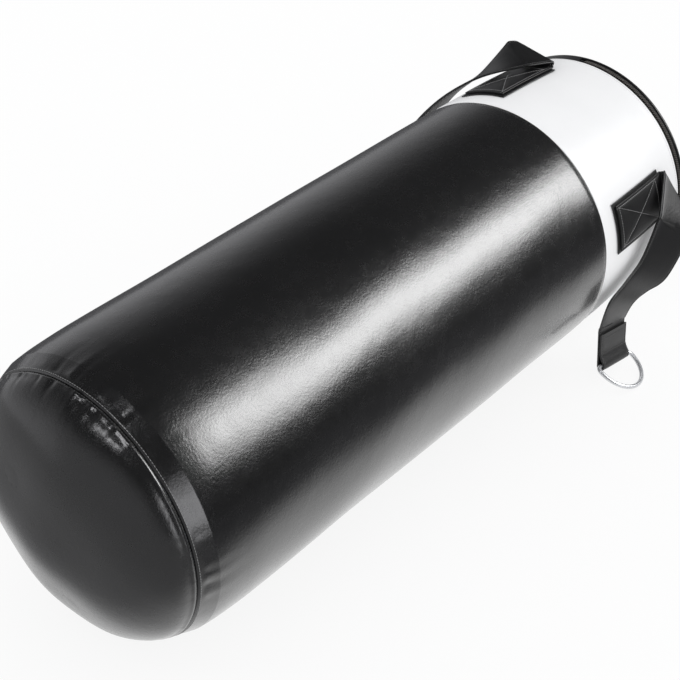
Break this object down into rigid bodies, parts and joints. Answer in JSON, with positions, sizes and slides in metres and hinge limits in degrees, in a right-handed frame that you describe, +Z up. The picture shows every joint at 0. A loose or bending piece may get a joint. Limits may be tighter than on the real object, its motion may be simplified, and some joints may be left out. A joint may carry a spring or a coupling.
{
  "type": "punching bag",
  "caption": "Stuffed cylindrical punching bag lying on its side, with a domed bottom, zipped top and hanging straps with D-rings.",
  "frame": {"origin": "middle of the flattened strip on which the bag rests, on the floor", "axes": "+X along the bag from the domed bottom to the zipped top, +Z up, +Y to the far side"},
  "size_m": [1.1133, 0.5164, 0.3088],
  "materials": {
    "black_vinyl": "semi-gloss grained vinyl",
    "white_vinyl": "satin vinyl",
    "strap_vinyl": "satin vinyl strap",
    "zip_tape": "woven",
    "zip_teeth": "satin",
    "zip_metal": "black enamel",
    "chrome": "polished",
    "textile": "packed textile waste"
  },
  "bodies": {
    "bag": {"bottom_panel": "black_vinyl", "lid_hinge_strip": "black_vinyl", "side_panel": "black_vinyl", "strap_1_patch": "strap_vinyl", "strap_1_sewn_end": "strap_vinyl", "strap_2_patch": "strap_vinyl", "strap_2_sewn_end": "strap_vinyl", "strap_3_patch": "strap_vinyl", "strap_3_sewn_end": "strap_vinyl", "strap_4_patch": "strap_vinyl", "strap_4_sewn_end": "strap_vinyl", "textile_filling": "textile", "top_band": "white_vinyl", "zip_stop_end": "zip_metal", "zip_stop_start": "zip_metal", "zip_tape_band_side": "zip_tape", "zip_teeth_band_side": "zip_teeth"},
    "lid": {"lid_panel": "black_vinyl", "zip_tape_lid_side": "zip_tape", "zip_teeth_lid_side": "zip_teeth"},
    "slider": {"zip_slider": "zip_metal"},
    "puller": {"zip_puller": "zip_metal"},
    "strap_1": {"strap_1": "strap_vinyl"},
    "ring_1": {"d_ring_1": "chrome"},
    "strap_2": {"strap_2": "strap_vinyl"},
    "ring_2": {"d_ring_2": "chrome"},
    "strap_3": {"strap_3": "strap_vinyl"},
    "ring_3": {"d_ring_3": "chrome"},
    "strap_4": {"strap_4": "strap_vinyl"},
    "ring_4": {"d_ring_4": "chrome"}
  },
  "joints": [
    {"name": "strap_1_swing", "type": "hinge", "parent": "bag", "child": "strap_1", "pos_m": [0.40605, 0.04622, 0.29516], "axis": [0.225, 0.9707, -0.0849], "range_deg": [0, 120]},
    {"name": "ring_1_swing", "type": "hinge", "parent": "strap_1", "child": "ring_1", "pos_m": [0.314, 0.15804, 0.12394], "axis": [0.9994, 0.03, -0.02], "range_deg": [-15, 150]},
    {"name": "strap_2_swing", "type": "hinge", "parent": "bag", "child": "strap_2", "pos_m": [0.40604, -0.14949, 0.18878], "axis": [-0.2079, 0.4592, 0.8637], "range_deg": [0, 120]},
    {"name": "ring_2_swing", "type": "hinge", "parent": "strap_2", "child": "ring_2", "pos_m": [0.293, -0.1627, 0.02], "axis": [-0.9856, 0.0324, 0.1659], "range_deg": [-60, 100]},
    {"name": "strap_3_swing", "type": "hinge", "parent": "bag", "child": "strap_3", "pos_m": [0.3963, -0.046, 0.00542], "axis": [0, 0.9511, -0.309], "range_deg": [0, 120]},
    {"name": "ring_3_swing", "type": "hinge", "parent": "strap_3", "child": "ring_3", "pos_m": [0.666, -0.06466, 0.0052], "axis": [-0.0995, -0.995, 0], "range_deg": [-10, 150]},
    {"name": "strap_4_swing", "type": "hinge", "parent": "bag", "child": "strap_4", "pos_m": [0.40787, 0.14919, 0.09851], "axis": [0.2588, -0.0506, -0.9646], "range_deg": [0, 120]},
    {"name": "ring_4_swing", "type": "hinge", "parent": "strap_4", "child": "ring_4", "pos_m": [0.218, 0.276, 0.0052], "axis": [0.5708, 0.8211, 0], "range_deg": [-10, 150]},
    {"name": "lid_hinge", "type": "hinge", "parent": "bag", "child": "lid", "pos_m": [0.456, 0.06116, 0.26202], "axis": [0, -0.8829, 0.4695], "range_deg": [0, 100]},
    {"name": "zip_slide", "type": "hinge", "parent": "bag", "child": "slider", "pos_m": [0.4465, 0, 0.147], "axis": [-1, 0, 0], "range_deg": [0, 298]},
    {"name": "puller_swing", "type": "hinge", "parent": "slider", "child": "puller", "pos_m": [0.4465, 0.123, 0.22091], "axis": [1, 0, 0], "range_deg": [0, 150]}
  ]
}
